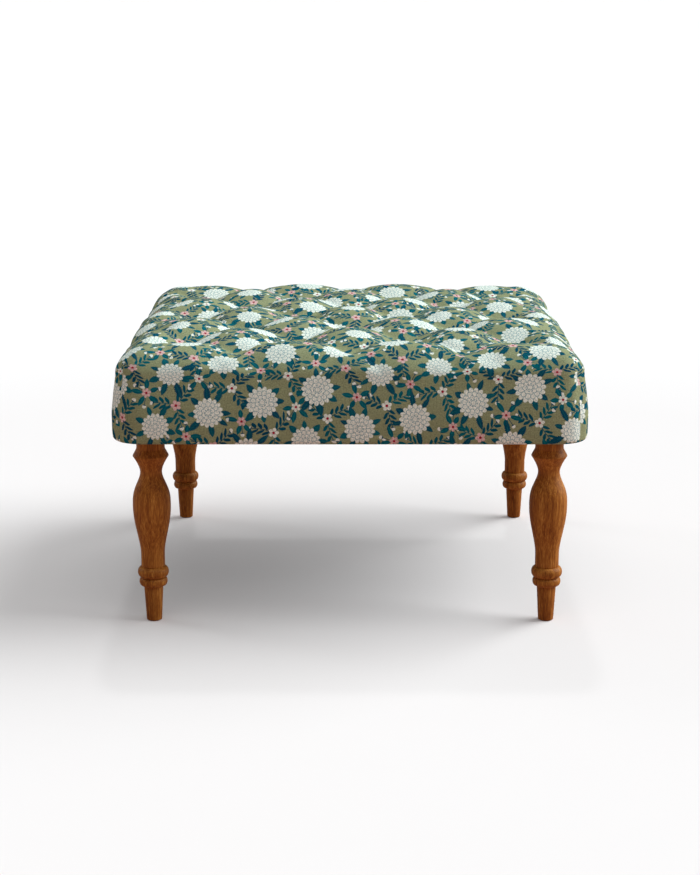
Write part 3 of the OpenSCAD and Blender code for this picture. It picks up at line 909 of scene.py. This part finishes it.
def lining_outline(across, along, step):
    """Cuts a net of points to the lining's outline and its leg holes.

    Returns the faces that are kept, and the points with those on the edges drawn to the outline.
    """
    straight = LINING_HALF - LINING_CORNER_R
    over = np.hypot(np.maximum(abs(across) - straight, 0), np.maximum(abs(along) - straight, 0))
    leg_x, leg_y = np.copysign(LEG_AT, across), np.copysign(LEG_AT, along)
    from_leg = np.hypot(across - leg_x, along - leg_y)
    kept = (over < LINING_CORNER_R + 0.5 * step) & (from_leg > LEG_HOLE_R - 0.3 * step)
    faces = [(a, d, c, b) for a, b, c, d in net_faces(LINING_CELLS) if all(kept[[a, b, c, d]])]
    sides = {(face[k - 1], face[k]) for face in faces for k in range(4)}
    edge = np.zeros(len(across), bool)
    edge[[p for side in sides if side[::-1] not in sides for p in side]] = True
    by_leg = edge & (from_leg < LEG_HOLE_R + 1.3 * step)
    in_corner = (abs(across) > straight) & (abs(along) > straight)
    pull = np.where(edge & in_corner & ~by_leg, LINING_CORNER_R / np.maximum(over, 1e-9), 1)
    push = np.where(by_leg, LEG_HOLE_R / np.maximum(from_leg, 1e-9), 1)

    def drawn(at, leg):
        cornered = np.copysign(straight + (abs(at) - straight) * pull, at)
        return leg + (np.where(in_corner, cornered, at) - leg) * push

    return faces, drawn(across, leg_x), drawn(along, leg_y)


def make_dust_cover(material):
    """The thin cloth under the seat, stapled along its edges, with a hole round each leg."""
    line = np.linspace(-LINING_HALF, LINING_HALF, LINING_CELLS + 1)
    across, along = (grid.ravel() for grid in np.meshgrid(line, line))
    faces, x, y = lining_outline(across, along, 2 * LINING_HALF / LINING_CELLS)
    inwards = np.minimum(LINING_HALF - abs(x), LINING_HALF - abs(y))
    free = np.clip(inwards / LINING_HALF, 0, 1)
    middle = (1 - (x / LINING_HALF) ** 2) * (1 - (y / LINING_HALF) ** 2)
    by_side = np.where(abs(x) > abs(y), y, x)
    ripples = np.sin(TAU * by_side / STAPLE_GAP) * np.exp(-inwards / LINING_PULL_REACH)
    ripples = ripples * np.clip(inwards / (8 * MM), 0, 1)
    waves = np.sin(9.1 * x + 3.7 * y) * np.sin(4.3 * x - 11.9 * y)
    z = LINING_FOOT + LINING_T - LINING_SAG * middle
    z = z - LINING_PULL * (ripples + 1) * np.sqrt(free) - LINING_WAVE * middle * (waves + 1)
    used, faces = renumbered(faces)
    dust_cover = new_piece("lining", [(x[p], y[p], z[p]) for p in used], faces, material)
    thicken(dust_cover, LINING_T, 1)
    apply_modifiers(dust_cover)
    return dust_cover


def make_staples(material):
    """Flat staples through the lining's edges into the rails, none quite straight or in line."""
    half = LINING_HALF - STAPLE_INSET
    count = int(2 * (half - STAPLE_FREE_END) / STAPLE_GAP)
    # A staple's side view in millimetres, round its back and then along its inside
    back = [(-5.5, 0.6), (-5.5, -0.1), (-5.2, -0.45), (5.2, -0.45), (5.5, -0.1), (5.5, 0.6)]
    outline = back + [(4.9, 0.6), (4.9, 0.15), (-4.9, 0.15), (-4.9, 0.6)]
    half_wire = 0.45
    total = len(outline)
    points, faces = [], []
    for quarter in range(4):
        for k in range(count + 1):
            at = (k - count / 2) * STAPLE_GAP
            lean = 0.12 * math.sin(7.0 * k + 2.1 * quarter)
            out = half + 0.8 * MM * math.sin(5.3 * k + quarter)
            first = len(points)
            for side in (-half_wire, half_wire):
                for x, z in outline:
                    u = at + (x * math.cos(lean) - side * math.sin(lean)) * MM
                    v = -out + (x * math.sin(lean) + side * math.cos(lean)) * MM
                    points.append((*quarter_turned(u, v, quarter), LINING_FOOT + z * MM))
            near = range(first, first + total)
            faces.append(tuple(reversed(near)))
            faces.append(tuple(p + total for p in near))
            for p in near:
                beside = first + (p - first + 1) % total
                faces.append((p, beside, beside + total, p + total))
    return new_piece("lining_staples", points, faces, material, sharp=25)


def turned(outline, x, y, count, first=0):
    """Points and faces of a closed turned shape, from its outline. Its points are numbered from first."""
    points = []
    for radius, height in outline:
        for k in range(count):
            turn = TAU * k / count
            points.append((x + radius * math.cos(turn), y + radius * math.sin(turn), height))
    faces = []
    top = first + (len(outline) - 1) * count
    for lower in range(first, top, count):
        for k in range(count):
            beside = (k + 1) % count
            faces.append((lower + k, lower + beside, lower + count + beside, lower + count + k))
    faces.append(tuple(reversed(range(first, first + count))))
    faces.append(tuple(range(top, top + count)))
    return points, faces


def make_twines(cover, material):
    """The tufting twines, each from its knot under the deck to just under the cover's inner face."""
    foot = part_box("tuft_twines")[0].z
    knot_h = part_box("tuft_washers")[0].z - foot
    turns = [math.pi * k / 8 for k in range(9)]
    knot = [
        (TWINE_R + (KNOT_R - TWINE_R) * math.sin(turn), foot + knot_h * (1 - math.cos(turn)) / 2)
        for turn in turns
    ]
    graph = bpy.context.evaluated_depsgraph_get()
    points, faces = [], []
    for x, y in TUFTS:
        _, under_cover, _, _ = cover.ray_cast((x, y, FOAM_FOOT), (0, 0, 1), depsgraph=graph)
        outline = knot + [(TWINE_R, under_cover.z - TWINE_END_GAP)]
        more_points, more_faces = turned(outline, x, y, TWINE_SIDES, len(points))
        points += more_points
        faces += more_faces
    return new_piece("twines", points, faces, material, sharp=50)


def sweep(z0, z1, d0, d1, skew, steps):
    """Diameters that ease from one to the other between two heights. The ease leans by skew."""
    shares = [k / steps for k in range(steps + 1)]
    return [
        (d0 + (d1 - d0) * (1 - math.cos(math.pi * t**skew)) / 2, z0 + (z1 - z0) * t)
        for t in shares
    ]


def bead(z0, z1, d, base=30):
    """A half-round bead between two heights, which stands on a base diameter."""
    turns = [math.pi * (k / 14 - 0.5) for k in range(15)]
    return [(base + (d - base) * math.cos(a), (z0 + z1 + (z1 - z0) * math.sin(a)) / 2) for a in turns]


def leg_outline():
    """Radius and height of points up a leg, in metres.

    They are written as diameters and heights in millimetres, which were measured more closely than those of
    the solids. The arrises are eased.
    """
    waist, ridge = 28.4, 46.3
    foot = [(19.2, 1.0), (19.9, 1.2), (20.3, 1.9), (25.2, 46.6), (24.9, 47.7), (25.3, 48.2)]
    beads = bead(48.2, 59.7, 37.1) + bead(59.7, 74.2, 40.8)[1:]
    fillet = [(30.6, 74.5), (31.0, 75.1), (31.2, 76.2)]
    vase = sweep(92.0, 158.0, 31.2, 49.8, 0.855, 30) + sweep(158.0, 203.0, 49.8, waist, 1.45, 24)[1:]
    shares = [k / 16 for k in range(1, 17)]
    flare = [(waist + (ridge - waist) * t**1.58, 203.0 + 20.6 * t) for t in shares]
    neck = [(46.8, 224.1), (46.9, 224.6), (46.4, 225.3), (37.5, 233.7), (37.0, 234.9), (37.0, 250.0)]
    return [(d / 2 * MM, z * MM) for d, z in foot + beads + fillet + vase + flare + neck]


def make_leg(name, corner, material):
    points, faces = turned(leg_outline(), corner[0] * LEG_AT, corner[1] * LEG_AT, LEG_SIDES)
    return new_piece(name, points, faces, material, sharp=34)


# Camera, light and floor

# The lamps' colour. Each lamp has its azimuth, elevation, strength and angular size, with angles in degrees.
LAMP_COLOUR = (0.74, 1.04, 1.1)
LAMPS = {
    "key_light": (15, 36, 4.35, 58),
    "low_light": (154.463, 22.051, 0.45, 20),
    "front_light": (-75.053, 67.306, 0.65, 50),
    "back_light": (90, 55, 0.35, 4),
}
FLOOR_REACH = 150.0
LENS = 80.4
CAMERA_AT = (0, -2.740, 0.816)
CAMERA_DOWN = 12.9


def set_camera(scene):
    camera = bpy.data.objects.new("camera", bpy.data.cameras.new("camera"))
    camera.data.lens = LENS
    camera.data.sensor_width = 36
    camera.data.clip_end = 500
    camera.location = CAMERA_AT
    camera.rotation_euler = (math.radians(90 - CAMERA_DOWN), 0, 0)
    scene.collection.objects.link(camera)
    scene.camera = camera


def set_lamp(scene, name, azimuth, elevation, strength, size):
    """A far-off lamp, in the direction of its azimuth and elevation."""
    lamp = bpy.data.lights.new(name, "SUN")
    lamp.energy = strength
    lamp.angle = math.radians(size)
    lamp.color = LAMP_COLOUR
    azimuth, elevation = math.radians(azimuth), math.radians(elevation)
    level = math.cos(elevation)
    towards = Vector((level * math.cos(azimuth), level * math.sin(azimuth), math.sin(elevation)))
    holder = bpy.data.objects.new(name, lamp)
    holder.rotation_euler = towards.to_track_quat("Z", "Y").to_euler()
    scene.collection.objects.link(holder)


def set_room(scene):
    """A room that is brightest overhead, with a plain backdrop where the camera sees past the floor."""
    world = bpy.data.worlds.new("studio")
    world.use_nodes = True
    scene.world = world
    nodes = Nodes(world.node_tree)
    overhead = Vector((0.1, -0.03, 0.98)).normalized()
    glow = nodes.vector("DOT_PRODUCT", nodes.add("TexCoord", {}, (), "Generated"), overhead)
    strength = glow.math("POWER", 2).math("MULTIPLY_ADD", 0.32, 0.10)
    room = nodes.add("Background", {}, ((0.76, 1.02, 1.07, 1), strength))
    backdrop = nodes.add("Background", {}, ((1, 1, 1, 1), 1.05))
    choice = nodes.add("MixShader", {}, (nodes.add("LightPath"), room, backdrop))
    nodes.add("OutputWorld", {}, (choice,))


def set_stage():
    scene = bpy.context.scene
    scene.view_settings.view_transform = "Standard"
    scene.view_settings.look = "None"
    set_camera(scene)
    for name, lamp in LAMPS.items():
        set_lamp(scene, name, *lamp)
    set_room(scene)
    corners = [(x * FLOOR_REACH, y * FLOOR_REACH, 0) for x, y in ((-1, -1), (1, -1), (1, 1), (-1, 1))]
    floor = new_piece("floor", corners, [(0, 1, 2, 3)], make_floor())


set_stage()

FINISHES = {
    "frame_wood": make_plain_wood("planed_pine", (190, 148, 98), (222, 186, 136), (0.25, 1, 1), 30.0),
    "dowel_wood": make_plain_wood("beech_dowel", (200, 165, 118), (222, 192, 148), (1, 0.2, 1), 60.0),
    "plywood": make_plain_wood("birch_plywood", (188, 152, 106), (226, 196, 150), (1, 0.12, 1), 18.0),
    "zinc_steel": make_zinc_steel(),
    "glide_nylon": make_nylon(),
    "twine": make_fibres("waxed_twine", (196, 184, 156), (228, 220, 200), 700.0, (1, 1, 4), 0.1 * MM),
    "foam": make_fibres("cut_foam", (206, 188, 132), (232, 218, 170), 420.0, (1, 1, 1), 0.3 * MM),
    "wadding": make_fibres("fibre_wadding", (212, 212, 208), (240, 240, 238), 260.0, (1, 1, 3), 0.5 * MM),
    "black_lining": make_fibres("black_lining", (22, 22, 23), (44, 44, 46), 900.0, (1, 1, 1), 0.1 * MM),
    "leg_wood": make_turned_wood(),
    "printed_cloth": make_printed_cotton(),
}

slots = {part["node"]: part["material_slot"] for part in frame["record"]["subparts"]}
for node, shape in frame["nodes"].items():
    shape.data.materials.clear()
    shape.data.materials.append(FINISHES[slots[node]])

for corner_name, corner in CORNERS.items():
    leg = make_leg("turned_leg_" + corner_name, corner, FINISHES["leg_wood"])
    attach(leg, "root")
    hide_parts("leg_" + corner_name)

cover = make_cover(FINISHES["printed_cloth"])
wadding = make_layer("wadding", cover, FINISHES["wadding"], WADDING_OUT, WADDING_T - SOFT_GAP, RAIL_FOOT)
foam = make_layer("foam", cover, FINISHES["foam"], FOAM_OUT, None, FOAM_FOOT + SOFT_GAP)
finish_cover(cover)
for piece, node, slot_name in (
    (cover, "seat_cover", "printed_cloth"),
    (wadding, "seat_wadding", "wadding"),
    (foam, "seat_foam", "foam"),
):
    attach(piece, "root")
    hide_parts(node)

twines = make_twines(cover, FINISHES["twine"])
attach(twines, "root")
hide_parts("tuft_twines")

lining = make_dust_cover(FINISHES["black_lining"])
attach(lining, "root")
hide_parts("dust_cover")

staples = make_staples(FINISHES["zinc_steel"])
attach(staples, "root")
